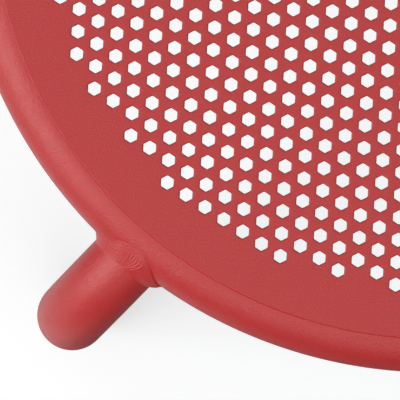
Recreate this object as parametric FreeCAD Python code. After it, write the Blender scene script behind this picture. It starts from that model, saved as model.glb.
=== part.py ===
"""Round stool: a perforated sheet-metal seat on a ring of round tube, with four bent tube legs.

Millimetres, +Z up. The origin is on the floor, under the centre of the seat.
The legs stand on the diagonals, so -Y is the front and -X the left.
"""
import FreeCAD
import Part
import math
import os

from FreeCAD import Vector

# Seat
SEAT_HEIGHT = 450.0
SHEET_THICKNESS = 2.0
SHEET_LAP = 1.5             # the sheet's edge lies this far outside the crown of the rim tube
HOLE_PITCH = 9.35
HOLE_ACROSS_FLATS = 5.2
HOLE_ROW_ANGLE = 21.8       # direction of one row of holes, in degrees from +X
HOLE_FIELD_MARGIN = 3.1     # from the inner side of the rim tube to the outermost hole centres
STRIP_ROWS = 4              # rows of holes in each strip that the sheet is joined from

# Rim ring
RIM_DIAMETER = 400.0
RIM_TUBE_STEP = 2.0         # the rim's tube is this much wider than the legs', so a leg's end lands on it
RIM_TUBE_WALL = 2.0
VENT_DIAMETER = 8.0         # hole in the rim inside each leg joint, which vents the closed ring

# Legs
LEG_TUBE_DIAMETER = 30.0
LEG_TUBE_WALL = 2.0
LEG_SLOPE = 25.0            # fall of the leg where it leaves the rim, in degrees
LEG_TOE = 4.5               # turn of a leg's upright plane from square to the rim, clockwise from above
LEG_BEND_RADIUS = 53.5      # at the tube's centre line
FIRST_LEG_ANGLE = 225.0
LEG_NAMES = ("front_left", "front_right", "rear_right", "rear_left")

# Welds
WELD_LEG = 3.8              # from the corner between rim and leg to each toe of the bead
WELD_TO_BEND = 1.5          # straight tube between the weld and the leg's bend
STITCH_COUNT = 12
STITCH_LENGTH = 26.0
STITCH_REACH = 7.0          # from the crown of the rim tube in to the middle of the stitch
STITCH_RADIUS = 3.0
STITCH_DEPTH = 1.6          # from the sheet's underside down to the middle of the stitch

# Feet
FOOT_FLANGE_HEIGHT = 5.0
FOOT_EDGE_ROUND = 2.0
FOOT_STEM_HEIGHT = 22.0
FOOT_STEM_WALL = 2.5
FOOT_FIN_COUNT = 4
FOOT_FIN_DEPTH = 1.8
FOOT_FIN_HEIGHT = 1.6
FOOT_FIN_CLEARANCE = 0.1

# Sizes that follow from those above
UP = Vector(0, 0, 1)
ORIGIN = Vector(0, 0, 0)
JOIN_TOLERANCE = 0.01
leg_radius = LEG_TUBE_DIAMETER / 2
leg_bore_radius = leg_radius - LEG_TUBE_WALL
rim_tube_radius = leg_radius + RIM_TUBE_STEP / 2
rim_bore_radius = rim_tube_radius - RIM_TUBE_WALL
rim_radius = RIM_DIAMETER / 2 - rim_tube_radius
sheet_underside = SEAT_HEIGHT - SHEET_THICKNESS
sheet_radius = rim_radius + SHEET_LAP
rim_height = sheet_underside - rim_tube_radius
hole_field_radius = rim_radius - rim_tube_radius - HOLE_FIELD_MARGIN
row_angle = math.radians(HOLE_ROW_ANGLE)
row_direction = Vector(math.cos(row_angle), math.sin(row_angle), 0)
across_rows = UP.cross(row_direction)
row_height = HOLE_PITCH * math.sin(math.radians(60))

# The centre line of a leg on the +X side, with heights from the middle of the rim tube
slope = math.radians(LEG_SLOPE)
toe = math.radians(LEG_TOE)
outwards = Vector(math.cos(toe), -math.sin(toe), 0)
bend_axis = UP.cross(outwards)
stub_direction = outwards * math.cos(slope) - UP * math.sin(slope)
stub_normal = outwards * math.sin(slope) + UP * math.cos(slope)
stub_length = rim_tube_radius + WELD_LEG + WELD_TO_BEND
stub_start = Vector(rim_radius, 0, 0)
bend_start = stub_start + stub_direction * stub_length
bend_centre = bend_start - stub_normal * LEG_BEND_RADIUS
bend_end = bend_centre + outwards * LEG_BEND_RADIUS
shank_foot = FOOT_FLANGE_HEIGHT - rim_height


def around_z(shape, degrees, lift=0.0):
    """A copy of the shape, turned about the upright axis through the seat's centre and lifted."""
    placed = shape.copy()
    placed.rotate(ORIGIN, UP, degrees)
    placed.translate(UP * lift)
    return placed


def disc(centre, normal, radius):
    return Part.Face(Part.Wire(Part.makeCircle(radius, centre, normal)))


def hole_wire(centre):
    """One hexagonal hole, its corners pointing along the rows of holes, wound clockwise from above."""
    corner_radius = HOLE_ACROSS_FLATS / math.sqrt(3)
    corners = []
    for corner in range(7):
        angle = math.radians(HOLE_ROW_ANGLE - 60 * corner)
        corners.append(centre + Vector(math.cos(angle), math.sin(angle), 0) * corner_radius)
    return Part.makePolygon(corners)


def hole_centres():
    """Triangular lattice with a hole in the middle of the seat, kept inside the rim tube."""
    row_step = row_direction * HOLE_PITCH
    next_row = row_direction * (HOLE_PITCH / 2) + across_rows * row_height
    reach = 2 * int(hole_field_radius / HOLE_PITCH)
    centres = []
    for row in range(-reach, reach + 1):
        for column in range(-reach, reach + 1):
            centre = next_row * row + row_step * column
            if centre.Length <= hole_field_radius:
                centres.append(centre)
    return centres


def seat_sheet():
    """A round plate, joined from strips that part between rows, so that no face has too many holes."""
    lift = Vector(0, 0, sheet_underside)
    blank = disc(lift, UP, sheet_radius)
    centres = hole_centres()
    strip_width = STRIP_ROWS * row_height
    strips_each_way = math.ceil(sheet_radius / strip_width) + 1
    strips = []
    for number in range(-strips_each_way, strips_each_way):
        strip_side = number * strip_width + row_height / 2
        corner = lift + across_rows * strip_side - row_direction * sheet_radius
        band = Part.makePlane(2 * sheet_radius, strip_width, corner, UP, row_direction)
        inside = [centre for centre in centres if 0 < centre.dot(across_rows) - strip_side < strip_width]
        for strip in blank.common(band).Faces:
            if inside:
                strip.cutHoles([hole_wire(centre + lift) for centre in inside])
            strips.append(strip.extrude(UP * SHEET_THICKNESS))
    return strips[0].fuse(strips[1:])


def torus(tube_radius):
    return Part.makeTorus(rim_radius, tube_radius, ORIGIN, UP)


def rim_tube():
    ring = torus(rim_tube_radius).cut(torus(rim_bore_radius))
    vent = Part.makeCylinder(VENT_DIAMETER / 2, stub_length, stub_start, stub_direction)
    return ring.cut([around_z(vent, angle) for angle in leg_angles()])


def stub_rod(radius):
    return disc(stub_start, stub_direction, radius).extrude(stub_direction * stub_length)


def leg_rod(radius):
    """A solid rod along the leg's centre line, from inside the rim to the foot."""
    bend = disc(bend_start, stub_direction, radius).revolve(bend_centre, bend_axis, 90 - LEG_SLOPE)
    shank = disc(bend_end, UP, radius).extrude(UP * (shank_foot - bend_end.z))
    return stub_rod(radius).fuse([bend, shank])


def leg():
    return leg_rod(leg_radius).cut([leg_rod(leg_bore_radius), torus(rim_tube_radius)])


def on_joint(edge):
    """True for an edge along which the surfaces of the rim tube and the leg's stub meet."""
    middle = edge.valueAt((edge.FirstParameter + edge.LastParameter) / 2)
    off_ring = math.hypot(math.hypot(middle.x, middle.y) - rim_radius, middle.z)
    off_stub = middle.distanceToLine(stub_start, stub_direction)
    return abs(off_ring - rim_tube_radius) < JOIN_TOLERANCE and abs(off_stub - leg_radius) < JOIN_TOLERANCE


def leg_weld():
    """A flat-faced fillet weld all round the joint between the rim and a leg."""
    half_span = math.degrees(2 * leg_radius / rim_radius)
    rim_section = around_z(disc(stub_start, Vector(0, 1, 0), rim_tube_radius), -half_span)
    rim_stretch = rim_section.revolve(ORIGIN, UP, 2 * half_span)
    stub = stub_rod(leg_radius)
    joined = rim_stretch.fuse(stub).Solids[0]
    welded = joined.makeChamfer(WELD_LEG, [edge for edge in joined.Edges if on_joint(edge)])
    return welded.cut([rim_stretch, stub])


def stitch_welds():
    """Short fillets in the groove between the sheet's underside and the rim tube."""
    middle = Vector(rim_radius - STITCH_REACH, 0, rim_tube_radius - STITCH_DEPTH)
    bead = disc(middle, Vector(0, 1, 0), STITCH_RADIUS)
    above_sheet = Part.makeCylinder(rim_radius, 2 * STITCH_RADIUS, Vector(0, 0, rim_tube_radius))
    section = bead.cut([above_sheet, torus(rim_tube_radius)]).Faces[0]
    span = math.degrees(STITCH_LENGTH / middle.x)
    stitch = around_z(section.revolve(ORIGIN, UP, span), -span / 2)
    step = 360 / STITCH_COUNT
    return Part.makeCompound([around_z(stitch, number * step) for number in range(STITCH_COUNT)])


def foot():
    """A moulded plug: a round-edged flange under the tube and a finned hollow stem inside it."""
    fin_radius = leg_bore_radius - FOOT_FIN_CLEARANCE
    stem_radius = fin_radius - FOOT_FIN_DEPTH
    stem_top = FOOT_FLANGE_HEIGHT + FOOT_STEM_HEIGHT
    fin_step = FOOT_STEM_HEIGHT / (FOOT_FIN_COUNT + 1)
    outline = [(stem_radius, FOOT_FLANGE_HEIGHT)]
    for fin in range(FOOT_FIN_COUNT):
        fin_base = FOOT_FLANGE_HEIGHT + fin_step * (fin + 1) - FOOT_FIN_HEIGHT / 2
        outline.append((stem_radius, fin_base))
        outline.append((fin_radius, fin_base))
        outline.append((stem_radius, fin_base + FOOT_FIN_HEIGHT))
    outline.append((stem_radius, stem_top))
    outline.append((stem_radius - FOOT_STEM_WALL, stem_top))
    outline.append((stem_radius - FOOT_STEM_WALL, FOOT_FLANGE_HEIGHT))
    stem_face = Part.Face(Part.makePolygon([Vector(r, 0, z) for r, z in outline + outline[:1]]))
    stem = stem_face.revolve(ORIGIN, UP, 360)
    flange = Part.makeCylinder(leg_radius, FOOT_FLANGE_HEIGHT)
    lower_edge = [edge for edge in flange.Edges if edge.BoundBox.ZMax < 1e-6]
    flange = flange.makeFillet(FOOT_EDGE_ROUND, lower_edge)
    plug = flange.fuse(stem)
    plug.translate(Vector(bend_end.x, bend_end.y, -rim_height))
    return plug


def leg_angles():
    step = 360 / len(LEG_NAMES)
    return [FIRST_LEG_ANGLE + step * number for number in range(len(LEG_NAMES))]


def save(name, shape):
    shape.exportStep(os.path.join("parts", name + ".step"))


os.makedirs("parts", exist_ok=True)
save("seat_sheet", seat_sheet())
save("rim_tube", around_z(rim_tube(), 0, rim_height))
save("stitch_welds", around_z(stitch_welds(), 0, rim_height))
for kind, piece in (("leg", leg()), ("weld", leg_weld()), ("foot", foot())):
    for place, leg_angle in zip(LEG_NAMES, leg_angles()):
        save(kind + "_" + place, around_z(piece, leg_angle, rim_height))
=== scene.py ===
import bpy
import math
import random
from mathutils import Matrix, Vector
from mathutils.geometry import tessellate_polygon


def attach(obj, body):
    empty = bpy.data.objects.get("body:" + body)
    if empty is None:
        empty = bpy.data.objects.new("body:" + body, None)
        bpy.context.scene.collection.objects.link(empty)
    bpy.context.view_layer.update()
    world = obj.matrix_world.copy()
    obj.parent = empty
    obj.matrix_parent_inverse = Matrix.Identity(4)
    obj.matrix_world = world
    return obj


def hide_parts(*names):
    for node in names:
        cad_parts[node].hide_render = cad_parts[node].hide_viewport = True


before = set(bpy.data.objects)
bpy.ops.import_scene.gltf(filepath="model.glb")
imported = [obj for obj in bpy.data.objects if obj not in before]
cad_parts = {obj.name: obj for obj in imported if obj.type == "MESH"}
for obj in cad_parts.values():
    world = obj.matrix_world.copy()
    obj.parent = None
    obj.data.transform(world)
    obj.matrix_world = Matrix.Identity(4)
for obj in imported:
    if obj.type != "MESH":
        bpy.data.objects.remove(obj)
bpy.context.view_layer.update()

# Sizes in millimetres and angles in degrees, as in the solids
MM = 0.001
SEAT_HEIGHT = 450.0
SHEET_THICKNESS = 2.0
SHEET_RADIUS = 185.5
HOLE_PITCH = 9.35
HOLE_ACROSS_FLATS = 5.2
HOLE_ROW_ANGLE = 21.8
HOLE_FIELD_RADIUS = 164.9
RIM_RADIUS = 184.0
RIM_TUBE_RADIUS = 16.0
LEG_RADIUS = 15.0
LEG_WALL = 2.0
LEG_SLOPE = 25.0
LEG_TOE = 4.5
LEG_STUB = 21.3
LEG_BEND_RADIUS = 53.5
LEG_ANGLES = {"front_left": 225.0, "front_right": 315.0, "rear_right": 45.0, "rear_left": 135.0}
FOOT_FLANGE_HEIGHT = 5.0
FOOT_EDGE_ROUND = 2.0
FOOT_STEM_HEIGHT = 22.0
FOOT_STEM_RADIUS = 11.1
FOOT_STEM_WALL = 2.5
FOOT_FIN_COUNT = 4
FOOT_FIN_RADIUS = 12.9
FOOT_FIN_HEIGHT = 1.6

# Finer shapes, which the solids leave out
EDGE_ROUND = 0.5            # the coated edge of the sheet rolls over to this radius
EDGE_TILT = 65.0            # until it leans this far and meets the rim
HOLE_EDGE_ROUND = 0.3       # the coat's soft edge round the top of each hole
HOLE_TAPER = 0.25           # how far each side of a hole leans in towards the underside
HOLE_CORNER_CUT = 0.22      # from a hole's sharp corner to where its coated corner starts
RIM_RISE = 1.5              # the rim's upper outer quarter is raised, so that the sheet looks let in
LEG_END_ROUND = 0.4         # soft edge at the lower end of a leg
LEG_END_MIDDLE = 0.12       # from the middle of that edge to each face that it joins
FOOT_TOP_CUT = 0.4          # cut along the upper edge of a foot's flange
FOOT_RECESS_RADIUS = 7.6    # shallow recess under a foot
FOOT_RECESS_DEPTH = 0.5
FOOT_RECESS_SLOPE = 0.8     # width of the recess's sloping side
SINK = 0.15                 # how far a welded piece reaches into the one that carries it

# Weld bead: its left and right are those of a leg that points towards the viewer, seen from above
BEAD_REACH = 3.8            # from the corner to each toe at the sides of the joint
BEAD_LEG_SPREAD = 2.6       # how much further the bead runs out on the leg above and below the joint
BEAD_RIM_SPREAD = 1.6       # and on the rim
BEAD_CROWN_TOP = 0.22       # rise of the bead's middle over a smooth blend, above and below the joint
BEAD_CROWN_LEFT = 0.35      # at its left, where it has flowed out
BEAD_CROWN_RIGHT = 0.9      # and at its right
BEAD_SWELL = 0.2            # unevenness of the rise, as a share of it
BEAD_BLEND = 0.4            # share of the way to the corner on which the skin still follows a tube
BEAD_EDGE = 0.6             # the bead's upright edge against the rim where it hasn't flowed out
BEAD_EDGE_WIDTH = 0.08      # width of that edge, as a share of the bead's
BEAD_WANDER = 0.3           # unevenness of the toes
BEAD_TOE_SINK = 0.04
RIPPLE_STEP = 1.4
RIPPLE_HEIGHT = 0.34
RIPPLE_RANGE = (0.5, 1.2)   # lowest and highest ripple, as shares of that height
RIPPLE_BOW = 2.6            # how far the middle of a ripple runs ahead of its ends
RIPPLE_SKEW = 1.6           # and its end on the leg ahead of that on the rim
RIPPLE_UNEVEN = 0.4         # drift of the ripples, in steps
RIPPLE_FADE = 0.6           # share of the height that the ripples lose at the right

# Where the bead changes across the leg, from -1 at the leg's left to 1 at its right
BEAD_ROUGH_SPAN = (-0.55, -0.1)     # from flowed out to crowned and rippled
BEAD_TOP_SPAN = (-0.9, 0.4)         # from no rise to a full one above and below the joint
BEAD_EDGE_SPAN = (0.0, 0.4)         # from no upright edge to a full one
RIPPLE_FADE_SPAN = (0.35, 0.75)     # from full ripples to fainter ones

# Random runs round the bead: first seed, and knots for ripple drift, rim toe, leg toe and rise
BEAD_SEED = 70
BEAD_KNOTS = (17, 23, 19, 13)

# Fineness of the shapes
HOLE_POINTS = 12            # two on each flat of a hole
EDGE_STEPS = 6
MARGIN_STEPS = 360
RIM_STEPS = 320
RIM_QUARTER_STEPS = 12
LEG_SIDES = 72
LEG_STUB_PARTS = (0.0, 0.35, 0.7, 1.0)
LEG_BEND_STEPS = 18
LEG_SHANK_RING = 120.0      # height above a leg's end of the only ring in the middle of the shank
SADDLE_STEPS = 30
BEAD_STEPS = 640
BEAD_ACROSS = 23
FOOT_SIDES = 64
FOOT_EDGE_STEPS = 4

# Faces that meet at more than this angle keep a sharp edge
SHARP_ANGLE = 40.0
SHEET_SHARP_ANGLE = 50.0
BEAD_SHARP_ANGLE = 75.0

# Finishes, with the fineness of their textures per metre
RAMP_SPAN = (0.3, 0.7)      # part of a noise over which a value goes from its first to its second end
NOISE_DETAIL = 2.0
GRAIN_ROUGHNESS = 0.6
PATCH_SCALE = 260.0         # duller and brighter patches
PATCH_ROUGHNESS = 0.5

# Camera, looking straight down on the seat near a leg joint
CAMERA_SPOT = (-109.3, -118.4)
CAMERA_ABOVE_SEAT = 2500.0
CAMERA_LENS = 541.0
CAMERA_TURN = -5.15
CAMERA_CLIP = 100.0         # metres

# Lights in metres and degrees, counter-clockwise from the right of the picture; radiance 1 is white
LIGHTS = {
    "key": {"azimuth": 194.0, "elevation": 30.0, "distance": 1.8, "size": 1.3, "radiance": 3.5},
    "fill": {"azimuth": 285.0, "elevation": 50.0, "distance": 2.0, "size": 1.5, "radiance": 0.8},
}
CARD_AZIMUTH = 200.0        # light that comes up from the floor, as from a white card beside the leg
CARD_DISTANCE = 0.85
CARD_LIFT = 1.0             # millimetres above the floor
CARD_SIZE = 1.3
CARD_RADIANCE = 0.6
SKY_ZENITH = 0.73
SKY_HORIZON = 0.0

# Floor in metres, which is white to the camera
FLOOR_SIZE = 14.0
FLOOR_DROP = 0.0002         # between the feet and the floor
FLOOR_ROUGHNESS = 0.9
FLOOR_SHADE = 0.7           # the floor's own reflectance as the camera sees it
FLOOR_BOUNCE = 0.05         # and as the object does
FLOOR_TINT = (0.95, 0.985, 1.0, 1.0)
FLOOR_GLOW = 0.475
FLOOR_GLOW_FAR = 0.62       # brighter away from the object, so that the floor runs out into the white
FLOOR_FADE = (0.7, 5.0)     # distances between which the glow changes

# How much of the white that the camera sees is mirrored by the coat or let through by a clear piece
BACKGROUND_SHARE = {"Is Glossy Ray": 0.2, "Is Transmission Ray": 1.0}

UP = Vector((0.0, 0.0, 1.0))
WHITE = (1.0, 1.0, 1.0, 1.0)
sheet_underside = SEAT_HEIGHT - SHEET_THICKNESS
rim_height = sheet_underside - RIM_TUBE_RADIUS


def polar(degrees, radius=1.0, height=0.0):
    angle = math.radians(degrees)
    return Vector((radius * math.cos(angle), radius * math.sin(angle), height))


def turned(point, degrees):
    angle = math.radians(degrees)
    cos = math.cos(angle)
    sin = math.sin(angle)
    return Vector((point.x * cos - point.y * sin, point.x * sin + point.y * cos, point.z))


def ease(value, low, high):
    """0 below low, 1 above high and smooth between them."""
    share = max(0.0, min(1.0, (value - low) / (high - low)))
    return share * share * (3.0 - 2.0 * share)


# Materials


def node_tree(material):
    material.use_nodes = True
    tree = material.node_tree
    return tree, tree.nodes["Principled BSDF"]


def add_noise(tree, scale, roughness):
    noise = tree.nodes.new("ShaderNodeTexNoise")
    noise.inputs["Scale"].default_value = scale
    noise.inputs["Detail"].default_value = NOISE_DETAIL
    noise.inputs["Roughness"].default_value = roughness
    coords = tree.nodes.new("ShaderNodeTexCoord")
    tree.links.new(coords.outputs["Object"], noise.inputs["Vector"])
    return noise.outputs["Fac"]


def add_ramp(tree, source, colours):
    """Output that goes from the first colour to the second over the middle of a noise."""
    ramp = tree.nodes.new("ShaderNodeValToRGB")
    for element, position, colour in zip(ramp.color_ramp.elements, RAMP_SPAN, colours):
        element.position = position
        element.color = (*colour, 1.0)
    tree.links.new(source, ramp.inputs["Fac"])
    return ramp.outputs["Color"]


def finish_material(name, colours, roughness, specular, grain_scale, grain_height):
    """A finish whose fine grain shows in colour and relief, with duller and brighter patches."""
    material = bpy.data.materials.new(name)
    tree, shader = node_tree(material)
    grain = add_noise(tree, grain_scale, GRAIN_ROUGHNESS)
    patches = add_noise(tree, PATCH_SCALE, PATCH_ROUGHNESS)
    greys = [(level, level, level) for level in roughness]
    tree.links.new(add_ramp(tree, grain, colours), shader.inputs["Base Color"])
    tree.links.new(add_ramp(tree, patches, greys), shader.inputs["Roughness"])
    shader.inputs["Specular IOR Level"].default_value = specular
    bump = tree.nodes.new("ShaderNodeBump")
    bump.inputs["Strength"].default_value = 1.0
    bump.inputs["Distance"].default_value = grain_height * MM
    tree.links.new(grain, bump.inputs["Height"])
    tree.links.new(bump.outputs["Normal"], shader.inputs["Normal"])
    return material


red_coat = finish_material(
    "red_powder_coat",
    colours=((0.51, 0.0090, 0.0100), (0.61, 0.0110, 0.0120)),
    roughness=(0.34, 0.42),
    specular=0.86,
    grain_scale=1500.0,
    grain_height=0.3,
)
foot_plastic = finish_material(
    "black_plastic",
    colours=((0.024, 0.024, 0.026), (0.034, 0.034, 0.036)),
    roughness=(0.5, 0.6),
    specular=0.4,
    grain_scale=2200.0,
    grain_height=0.03,
)


# Pieces


def add_piece(name, verts, faces, node, material, sharp=SHARP_ANGLE, weighted=False):
    mesh = bpy.data.meshes.new(name)
    mesh.from_pydata([vert * MM for vert in verts], [], faces)
    mesh.materials.append(material)
    mesh.shade_smooth()
    mesh.set_sharp_from_angle(angle=math.radians(sharp))
    piece = bpy.data.objects.new(name, mesh)
    bpy.context.collection.objects.link(piece)
    if weighted:
        piece.modifiers.new("even_normals", "WEIGHTED_NORMAL").keep_sharp = True
    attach(piece, "root")
    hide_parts(node)


def grid_faces(rows, columns, close_rows):
    """Quads of a grid whose columns close on themselves, and whose rows do so if asked."""
    faces = []
    for row in range(rows if close_rows else rows - 1):
        here = row * columns
        there = (row + 1) % rows * columns
        for column in range(columns):
            after = (column + 1) % columns
            faces.append((here + column, here + after, there + after, there + column))
    return faces


def flipped(faces):
    return [tuple(reversed(face)) for face in faces]


# Seat sheet


def hole_centres():
    row_step = polar(HOLE_ROW_ANGLE, HOLE_PITCH)
    next_row = polar(HOLE_ROW_ANGLE + 60, HOLE_PITCH)
    reach = 2 * int(HOLE_FIELD_RADIUS / HOLE_PITCH)
    span = range(-reach, reach + 1)
    centres = [next_row * row + row_step * column for row in span for column in span]
    return [centre for centre in centres if centre.length <= HOLE_FIELD_RADIUS]


def hole_loop(grow, height):
    """Points round a hexagonal hole whose corners are filled by the coat."""
    reach = HOLE_ACROSS_FLATS / 2 + grow
    half_flat = HOLE_ACROSS_FLATS / 2 * math.tan(math.radians(30)) - HOLE_CORNER_CUT
    points = []
    for flat in range(6):
        normal = polar(HOLE_ROW_ANGLE + 30 + 60 * flat)
        along = UP.cross(normal) * half_flat
        points.append(normal * reach - along + UP * height)
        points.append(normal * reach + along + UP * height)
    return points


def hole_loops():
    """Rings of points down the side of a hole, from the soft upper edge to the underside."""
    soft = HOLE_EDGE_ROUND * (1 - math.sqrt(0.5))
    return [
        hole_loop(HOLE_TAPER + HOLE_EDGE_ROUND, SEAT_HEIGHT),
        hole_loop(HOLE_TAPER + soft, SEAT_HEIGHT - soft),
        hole_loop(HOLE_TAPER, SEAT_HEIGHT - HOLE_EDGE_ROUND),
        hole_loop(0.0, sheet_underside),
    ]


def hole_faces(start, rings, cell):
    """Faces of a hole's sides, and of the hexagonal cell round it on the top and the underside."""
    faces = []
    for ring in range(rings - 1):
        upper = start + HOLE_POINTS * ring
        lower = upper + HOLE_POINTS
        for i in range(HOLE_POINTS):
            j = (i + 1) % HOLE_POINTS
            faces.append((lower + j, lower + i, upper + i, upper + j))
    lowest = start + HOLE_POINTS * (rings - 1)
    for k, (this, after) in enumerate(cell):
        a = 2 * k
        b = a + 1
        c = (a + 2) % HOLE_POINTS
        faces.append((start + b, start + a, this))
        faces.append((start + c, start + b, this, after))
        faces.append((lowest + a, lowest + b, this + 1))
        faces.append((lowest + b, lowest + c, after + 1, this + 1))
    return faces


def field_outline(cell_edges):
    """The closed run of cell corners round the whole field of holes."""
    outer = {corner: other for corner, other in cell_edges if (other, corner) not in cell_edges}
    first = next(iter(outer))
    run = [first]
    while outer[run[-1]] != first:
        run.append(outer[run[-1]])
    return run


def edge_profile():
    """Radius and height down the sheet's coated edge, which rolls over and ends just inside the rim."""
    flat_radius = SHEET_RADIUS - EDGE_ROUND * math.sin(math.radians(EDGE_TILT))
    rings = []
    for step in range(EDGE_STEPS + 1):
        tilt = math.radians(EDGE_TILT) * step / EDGE_STEPS
        radius = flat_radius + EDGE_ROUND * math.sin(tilt)
        rings.append((radius, SEAT_HEIGHT - EDGE_ROUND * (1 - math.cos(tilt))))
    rings.append((SHEET_RADIUS + EDGE_ROUND, sheet_underside + RIM_RISE - EDGE_ROUND))
    rings.append((SHEET_RADIUS, sheet_underside))
    return rings


def add_margin(verts, faces, outline):
    """The plain margin between the holes and the round outer edge."""
    count = MARGIN_STEPS
    rings = edge_profile()
    start = len(verts)
    for radius, height in rings:
        verts.extend(polar(360 * i / count, radius, height) for i in range(count))
    for ring in range(len(rings) - 1):
        upper = start + count * ring
        for i in range(count):
            j = (i + 1) % count
            faces.append((upper + i, upper + count + i, upper + count + j, upper + j))
    last = start + count * (len(rings) - 1)
    top = list(range(start, start + count)) + outline
    bottom = list(range(last, last + count)) + [corner + 1 for corner in outline]
    loops = [[verts[i] for i in top[:count]], [verts[i] for i in outline]]
    for a, b, c in tessellate_polygon(loops):
        side_b = verts[top[b]] - verts[top[a]]
        side_c = verts[top[c]] - verts[top[a]]
        if side_b.cross(side_c).z < 0:
            b, c = c, b
        faces.append((top[a], top[b], top[c]))
        faces.append((bottom[a], bottom[c], bottom[b]))


def seat_plate():
    verts = []
    faces = []
    corner_index = {}
    cell_edges = {}
    loops = hole_loops()
    corners = [polar(HOLE_ROW_ANGLE + 30 + 60 * corner, HOLE_PITCH / math.sqrt(3)) for corner in range(6)]

    def corner_pair(point):
        """Index of a cell corner on the top face; the one below it follows."""
        key = (round(point.x, 2), round(point.y, 2))
        if key not in corner_index:
            corner_index[key] = len(verts)
            verts.extend((point + UP * SEAT_HEIGHT, point + UP * sheet_underside))
        return corner_index[key]

    for centre in hole_centres():
        around = [corner_pair(centre + corner) for corner in corners]
        cell = list(zip(around, around[1:] + around[:1]))
        start = len(verts)
        for loop in loops:
            verts.extend(centre + point for point in loop)
        faces.extend(hole_faces(start, len(loops), cell))
        cell_edges.update(dict.fromkeys(cell))
    add_margin(verts, faces, field_outline(cell_edges))
    add_piece("seat_plate", verts, faces, "seat_sheet", red_coat, SHEET_SHARP_ANGLE, True)


# Rim


def rim_section():
    """Distance out and height round the rim's section: a circle whose upper outer quarter is raised."""
    circle = []
    for step in range(4 * RIM_QUARTER_STEPS):
        angle = math.pi * step / (2 * RIM_QUARTER_STEPS)
        circle.append((RIM_TUBE_RADIUS * math.cos(angle), RIM_TUBE_RADIUS * math.sin(angle)))
    level = circle[RIM_QUARTER_STEPS:] + circle[:1]
    raised = [(out, height + RIM_RISE) for out, height in circle[:RIM_QUARTER_STEPS + 1]]
    return level + raised


def rim_ring():
    section = rim_section()
    verts = []
    for i in range(RIM_STEPS):
        turn = 360 * i / RIM_STEPS
        verts.extend(polar(turn, RIM_RADIUS + out, rim_height + height) for out, height in section)
    faces = flipped(grid_faces(RIM_STEPS, len(section), True))
    add_piece("rim_ring", verts, faces, "rim_tube", red_coat)


def rim_spine(point):
    """The nearest point of the upright band in the middle of the rim's outer half."""
    height = max(rim_height, min(rim_height + RIM_RISE, point.z))
    return Vector((point.x, point.y, 0.0)).normalized() * RIM_RADIUS + UP * height


def on_rim(point, sink=0.0):
    """The nearest point of the rim tube's surface, or of one that lies deeper by sink."""
    spine = rim_spine(point)
    return spine + (point - spine).normalized() * (RIM_TUBE_RADIUS - sink)


# Legs, worked out on the +X side and then turned to their places

slope = math.radians(LEG_SLOPE)
outwards = polar(-LEG_TOE)
sideways = UP.cross(outwards)
stub_direction = outwards * math.cos(slope) - UP * math.sin(slope)
stub_normal = outwards * math.sin(slope) + UP * math.cos(slope)
stub_start = Vector((RIM_RADIUS, 0.0, rim_height))
bend_start = stub_start + stub_direction * LEG_STUB
bend_centre = bend_start - stub_normal * LEG_BEND_RADIUS
bend_end = bend_centre + outwards * LEG_BEND_RADIUS


def stub_point(radius, around, along):
    side = sideways * math.cos(around) + stub_normal * math.sin(around)
    return stub_start + stub_direction * along + side * radius


def on_stub(point, sink=0.0):
    """The nearest point of the leg stub's surface, or of one that lies deeper by sink."""
    spine = stub_start + stub_direction * (point - stub_start).dot(stub_direction)
    return spine + (point - spine).normalized() * (LEG_RADIUS - sink)


def saddle(radius, around, sink=0.0):
    """How far along the stub its surface comes out of the rim tube."""
    low = 0.0
    high = LEG_STUB
    for _ in range(SADDLE_STEPS):
        middle = (low + high) / 2
        point = stub_point(radius, around, middle)
        if (point - rim_spine(point)).length < RIM_TUBE_RADIUS - sink:
            low = middle
        else:
            high = middle
    return (low + high) / 2


def leg_rows(radius, shank_rows):
    """Rings of points down a leg's surface, from the coped end to the foot."""
    around = [2 * math.pi * i / LEG_SIDES for i in range(LEG_SIDES)]
    starts = [saddle(radius, angle, SINK) for angle in around]
    rows = []
    for part in LEG_STUB_PARTS:
        rows.append([stub_point(radius, a, s + (LEG_STUB - s) * part) for a, s in zip(around, starts)])
    for step in range(1, LEG_BEND_STEPS + 1):
        turn = math.radians(90 - LEG_SLOPE) * step / LEG_BEND_STEPS
        normal = stub_normal * math.cos(turn) + stub_direction * math.sin(turn)
        centre = bend_centre + normal * LEG_BEND_RADIUS
        rows.append([centre + (sideways * math.cos(a) + normal * math.sin(a)) * radius for a in around])
    for shrink, height in shank_rows:
        centre = Vector((bend_end.x, bend_end.y, height))
        ring = [sideways * math.cos(a) + outwards * math.sin(a) for a in around]
        rows.append([centre + side * (radius - shrink) for side in ring])
    return rows


def leg_tubes():
    end = FOOT_FLANGE_HEIGHT
    shank = (0.0, end + LEG_SHANK_RING)
    soft_edge = ((0.0, end + LEG_END_ROUND), (LEG_END_MIDDLE, end + LEG_END_MIDDLE), (LEG_END_ROUND, end))
    outer = leg_rows(LEG_RADIUS, (shank, *soft_edge))
    bore = leg_rows(LEG_RADIUS - LEG_WALL, (shank, (0.0, end)))
    rows = outer + bore[::-1]
    faces = grid_faces(len(rows), LEG_SIDES, True)
    for place, angle in LEG_ANGLES.items():
        verts = [turned(point, angle) for row in rows for point in row]
        add_piece("leg_tube_" + place, verts, faces, "leg_" + place, red_coat)


# Welds


def loop_noise(chance, knots):
    """A smooth random run that closes on itself, between -1 and 1."""
    values = [chance.uniform(-1.0, 1.0) for _ in range(knots)]

    def at(part):
        place = part % 1.0 * knots
        before = int(place)
        mix = ease(place - before, 0.0, 1.0)
        return values[before % knots] * (1.0 - mix) + values[(before + 1) % knots] * mix

    return at


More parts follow.
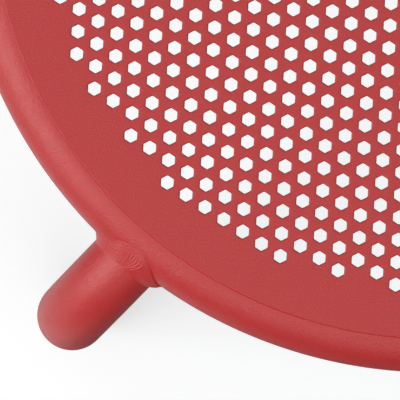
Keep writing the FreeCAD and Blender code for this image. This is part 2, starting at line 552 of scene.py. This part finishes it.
def bead_frames():
    """Corner, way along the rim, way along the leg and outward direction at steps round a leg joint."""
    corners = []
    for i in range(BEAD_STEPS):
        around = 2 * math.pi * i / BEAD_STEPS
        corners.append(stub_point(LEG_RADIUS, around, saddle(LEG_RADIUS, around)))
    frames = []
    for i, corner in enumerate(corners):
        along = (corners[(i + 1) % BEAD_STEPS] - corners[i - 1]).normalized()
        rim_normal = (corner - on_rim(corner, RIM_TUBE_RADIUS)).normalized()
        leg_normal = (corner - on_stub(corner, LEG_RADIUS)).normalized()
        rim_way = along.cross(rim_normal)
        leg_way = along.cross(leg_normal)
        rim_way = rim_way if rim_way.dot(leg_normal) > 0 else -rim_way
        leg_way = leg_way if leg_way.dot(rim_normal) > 0 else -leg_way
        frames.append((corner, rim_way, leg_way, (rim_normal + leg_normal).normalized()))
    return frames


def lead(toe, spine, corner):
    """Where the bead's skin heads from a toe: along the tube's surface, towards the corner."""
    normal = (toe - spine).normalized()
    way = corner - toe
    return toe + (way - normal * way.dot(normal)) * BEAD_BLEND


def skin_guides(corner, rim_step, leg_step):
    """The toe and lead on the rim, then the lead and toe on the leg."""
    rim_toe = on_rim(corner + rim_step, BEAD_TOE_SINK)
    leg_toe = on_stub(corner + leg_step, BEAD_TOE_SINK)
    rim_lead = lead(rim_toe, on_rim(rim_toe, RIM_TUBE_RADIUS), corner)
    leg_lead = lead(leg_toe, on_stub(leg_toe, LEG_RADIUS), corner)
    return rim_toe, rim_lead, leg_lead, leg_toe


def skin_point(guides, t):
    """A point of the smooth skin between rim and leg, t of the way across."""
    rim_toe, rim_lead, leg_lead, leg_toe = guides
    rim_share = rim_toe * (1 - t) ** 3 + rim_lead * 3 * t * (1 - t) ** 2
    leg_share = leg_lead * 3 * t * t * (1 - t) + leg_toe * t ** 3
    return rim_share + leg_share


def bead_heights(side, off_side, swell):
    """Rise of the crown, of the edge against the rim and of the ripples at one step round the joint."""
    rough = ease(side, *BEAD_ROUGH_SPAN)
    crown = BEAD_CROWN_LEFT + (BEAD_CROWN_RIGHT - BEAD_CROWN_LEFT) * rough
    crown += (BEAD_CROWN_TOP * ease(side, *BEAD_TOP_SPAN) - crown) * off_side
    crown *= 1.0 + BEAD_SWELL * swell
    edge = BEAD_EDGE * ease(side, *BEAD_EDGE_SPAN)
    ripple = RIPPLE_HEIGHT * rough * (1.0 - RIPPLE_FADE * ease(side, *RIPPLE_FADE_SPAN))
    return crown, edge, ripple


def ripple_share(place, shares, drift):
    """Height of the ripples at a place round the joint, as a share of their full height."""
    phase = place * len(shares) + RIPPLE_UNEVEN * drift(place)
    within = phase % 1.0
    scallop = math.sqrt(max(0.0, 4.0 * within * (1.0 - within)))
    return shares[int(phase) % len(shares)] * scallop


def weld_verts(frames, lengths, chance):
    """Points of one bead: across from rim to leg at each step, then the corner under it."""
    shares = [chance.uniform(*RIPPLE_RANGE) for _ in range(round(lengths[-1] / RIPPLE_STEP))]
    drift, rim_edge, leg_edge, swell = (loop_noise(chance, knots) for knots in BEAD_KNOTS)
    verts = []
    for i, (corner, rim_way, leg_way, outward) in enumerate(frames):
        part = i / BEAD_STEPS
        side = math.cos(2 * math.pi * part)
        off_side = 1.0 - side * side
        rim_reach = BEAD_REACH + BEAD_RIM_SPREAD * off_side + BEAD_WANDER * rim_edge(part)
        leg_reach = BEAD_REACH + BEAD_LEG_SPREAD * off_side + BEAD_WANDER * leg_edge(part)
        guides = skin_guides(corner, rim_way * rim_reach, leg_way * leg_reach)
        crown, edge, ripple = bead_heights(side, off_side, swell(part))
        for j in range(BEAD_ACROSS):
            t = j / (BEAD_ACROSS - 1)
            dome = 4.0 * t * (1.0 - t)
            place = (lengths[i] + RIPPLE_BOW * dome + RIPPLE_SKEW * t) / lengths[-1]
            rise = crown * dome * dome + edge * (1.0 - t) * ease(t, 0.0, BEAD_EDGE_WIDTH)
            rise += ripple * ripple_share(place, shares, drift) * math.sqrt(dome)
            verts.append(skin_point(guides, t) + outward * rise)
        verts.append(corner - outward * SINK)
    return verts


def weld_beads():
    frames = bead_frames()
    lengths = [0.0]
    for i in range(BEAD_STEPS):
        step = frames[(i + 1) % BEAD_STEPS][0] - frames[i][0]
        lengths.append(lengths[-1] + step.length)
    faces = flipped(grid_faces(BEAD_STEPS, BEAD_ACROSS + 1, True))
    for number, (place, angle) in enumerate(LEG_ANGLES.items()):
        points = weld_verts(frames, lengths, random.Random(BEAD_SEED + number))
        verts = [turned(point, angle) for point in points]
        add_piece("weld_bead_" + place, verts, faces, "weld_" + place, red_coat, BEAD_SHARP_ANGLE)


# Feet


def foot_profile():
    """Radius and height round a foot, from the recess under it to the bottom of its hollow stem."""
    flange = FOOT_FLANGE_HEIGHT
    edge = LEG_RADIUS - FOOT_EDGE_ROUND
    recess_mouth = FOOT_RECESS_RADIUS + FOOT_RECESS_SLOPE
    profile = [(FOOT_RECESS_RADIUS, FOOT_RECESS_DEPTH), (recess_mouth, 0.0), (edge, 0.0)]
    for step in range(1, FOOT_EDGE_STEPS + 1):
        angle = math.radians(90 * step / FOOT_EDGE_STEPS)
        profile.append((edge + FOOT_EDGE_ROUND * math.sin(angle), FOOT_EDGE_ROUND * (1 - math.cos(angle))))
    profile.append((LEG_RADIUS, flange - FOOT_TOP_CUT))
    profile.append((LEG_RADIUS - FOOT_TOP_CUT, flange))
    profile.append((FOOT_STEM_RADIUS, flange))
    fin_step = FOOT_STEM_HEIGHT / (FOOT_FIN_COUNT + 1)
    for fin in range(FOOT_FIN_COUNT):
        base = flange + fin_step * (fin + 1) - FOOT_FIN_HEIGHT / 2
        profile.append((FOOT_STEM_RADIUS, base))
        profile.append((FOOT_FIN_RADIUS, base))
        profile.append((FOOT_STEM_RADIUS, base + FOOT_FIN_HEIGHT))
    stem_top = flange + FOOT_STEM_HEIGHT
    stem_bore = FOOT_STEM_RADIUS - FOOT_STEM_WALL
    return profile + [(FOOT_STEM_RADIUS, stem_top), (stem_bore, stem_top), (stem_bore, flange)]


def foot_glides():
    profile = foot_profile()
    faces = flipped(grid_faces(len(profile), FOOT_SIDES, False))
    last = (len(profile) - 1) * FOOT_SIDES
    faces.append(tuple(reversed(range(FOOT_SIDES))))
    faces.append(tuple(range(last, last + FOOT_SIDES)))
    turns = [360 * i / FOOT_SIDES for i in range(FOOT_SIDES)]
    for place, angle in LEG_ANGLES.items():
        centre = turned(Vector((bend_end.x, bend_end.y, 0.0)), angle)
        verts = [centre + polar(turn, radius, height) for radius, height in profile for turn in turns]
        add_piece("foot_glide_" + place, verts, faces, "foot_" + place, foot_plastic)


seat_plate()
rim_ring()
leg_tubes()
weld_beads()
foot_glides()
for stitch_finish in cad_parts["stitch_welds"].material_slots:
    stitch_finish.material = red_coat


# Floor, light and camera


def feed(tree, value, socket):
    """Give a socket a number, or another node's output."""
    if isinstance(value, float):
        socket.default_value = value
    else:
        tree.links.new(value, socket)


def graded(tree, source, low, high, span=(0.0, 1.0)):
    """Output that goes from low to high while the source goes through a span."""
    grade = tree.nodes.new("ShaderNodeMapRange")
    grade.inputs["From Min"].default_value = span[0]
    grade.inputs["From Max"].default_value = span[1]
    feed(tree, low, grade.inputs["To Min"])
    feed(tree, high, grade.inputs["To Max"])
    tree.links.new(source, grade.inputs["Value"])
    return grade.outputs["Result"]


def between(tree, low, high):
    """Low for the rays that light the object, high for the camera's, and a share of it for some others."""
    path = tree.nodes.new("ShaderNodeLightPath")
    seen = path.outputs["Is Camera Ray"]
    for kind, share in BACKGROUND_SHARE.items():
        added = tree.nodes.new("ShaderNodeMath")
        added.operation = "MULTIPLY_ADD"
        added.inputs[1].default_value = share
        tree.links.new(path.outputs[kind], added.inputs[0])
        tree.links.new(seen, added.inputs[2])
        seen = added.outputs["Value"]
    return graded(tree, seen, low, high)


def floor_glow(tree):
    """The floor's glow, by the distance from the middle of the object."""
    coords = tree.nodes.new("ShaderNodeTexCoord")
    reach = tree.nodes.new("ShaderNodeVectorMath")
    reach.operation = "LENGTH"
    tree.links.new(coords.outputs["Object"], reach.inputs[0])
    return graded(tree, reach.outputs["Value"], FLOOR_GLOW, FLOOR_GLOW_FAR, FLOOR_FADE)


def add_floor():
    bpy.ops.mesh.primitive_plane_add(size=FLOOR_SIZE, location=(0.0, 0.0, -FLOOR_DROP))
    floor = bpy.context.object
    floor.name = "floor"
    material = bpy.data.materials.new("pale_floor")
    tree, shader = node_tree(material)
    shader.inputs["Roughness"].default_value = FLOOR_ROUGHNESS
    shader.inputs["Specular IOR Level"].default_value = 0.0
    shader.inputs["Emission Color"].default_value = FLOOR_TINT
    tree.links.new(between(tree, FLOOR_BOUNCE, FLOOR_SHADE), shader.inputs["Base Color"])
    tree.links.new(between(tree, 0.0, floor_glow(tree)), shader.inputs["Emission Strength"])
    floor.data.materials.append(material)


def add_light(name, size, radiance, place, facing):
    """A flat soft light at a place in metres from the spot that the camera looks at."""
    data = bpy.data.lights.new(name, "AREA")
    data.shape = "SQUARE"
    data.size = size
    data.energy = radiance * math.pi * size * size
    light = bpy.data.objects.new(name, data)
    light.location = Vector((*CAMERA_SPOT, SEAT_HEIGHT)) * MM + place
    light.rotation_euler = (-facing).to_track_quat("Z", "Y").to_euler()
    light.visible_camera = False
    bpy.context.collection.objects.link(light)


def add_lights():
    for name, light in LIGHTS.items():
        elevation = math.radians(light["elevation"])
        reach = light["distance"] * math.cos(elevation)
        height = light["distance"] * math.sin(elevation)
        place = polar(light["azimuth"] + CAMERA_TURN, reach, height)
        add_light(name, light["size"], light["radiance"], place, -place)
    place = polar(CARD_AZIMUTH + CAMERA_TURN, CARD_DISTANCE, (CARD_LIFT - SEAT_HEIGHT) * MM)
    add_light("card", CARD_SIZE, CARD_RADIANCE, place, UP)


def add_world():
    """A sky that is bright overhead and dark round the horizon, and white where the camera sees it."""
    world = bpy.data.worlds.new("studio")
    bpy.context.scene.world = world
    world.use_nodes = True
    tree = world.node_tree
    background = tree.nodes["Background"]
    background.inputs["Color"].default_value = WHITE
    coords = tree.nodes.new("ShaderNodeTexCoord")
    split = tree.nodes.new("ShaderNodeSeparateXYZ")
    tree.links.new(coords.outputs["Generated"], split.inputs["Vector"])
    sky = graded(tree, split.outputs["Z"], SKY_HORIZON, SKY_ZENITH)
    tree.links.new(between(tree, sky, 1.0), background.inputs["Strength"])


def add_camera():
    data = bpy.data.cameras.new("camera")
    data.lens = CAMERA_LENS
    data.clip_end = CAMERA_CLIP
    camera = bpy.data.objects.new("camera", data)
    camera.location = Vector((*CAMERA_SPOT, SEAT_HEIGHT + CAMERA_ABOVE_SEAT)) * MM
    camera.rotation_euler = (0.0, 0.0, math.radians(CAMERA_TURN))
    bpy.context.collection.objects.link(camera)
    bpy.context.scene.camera = camera


add_floor()
add_world()
add_lights()
add_camera()
bpy.context.scene.view_settings.view_transform = "Standard"
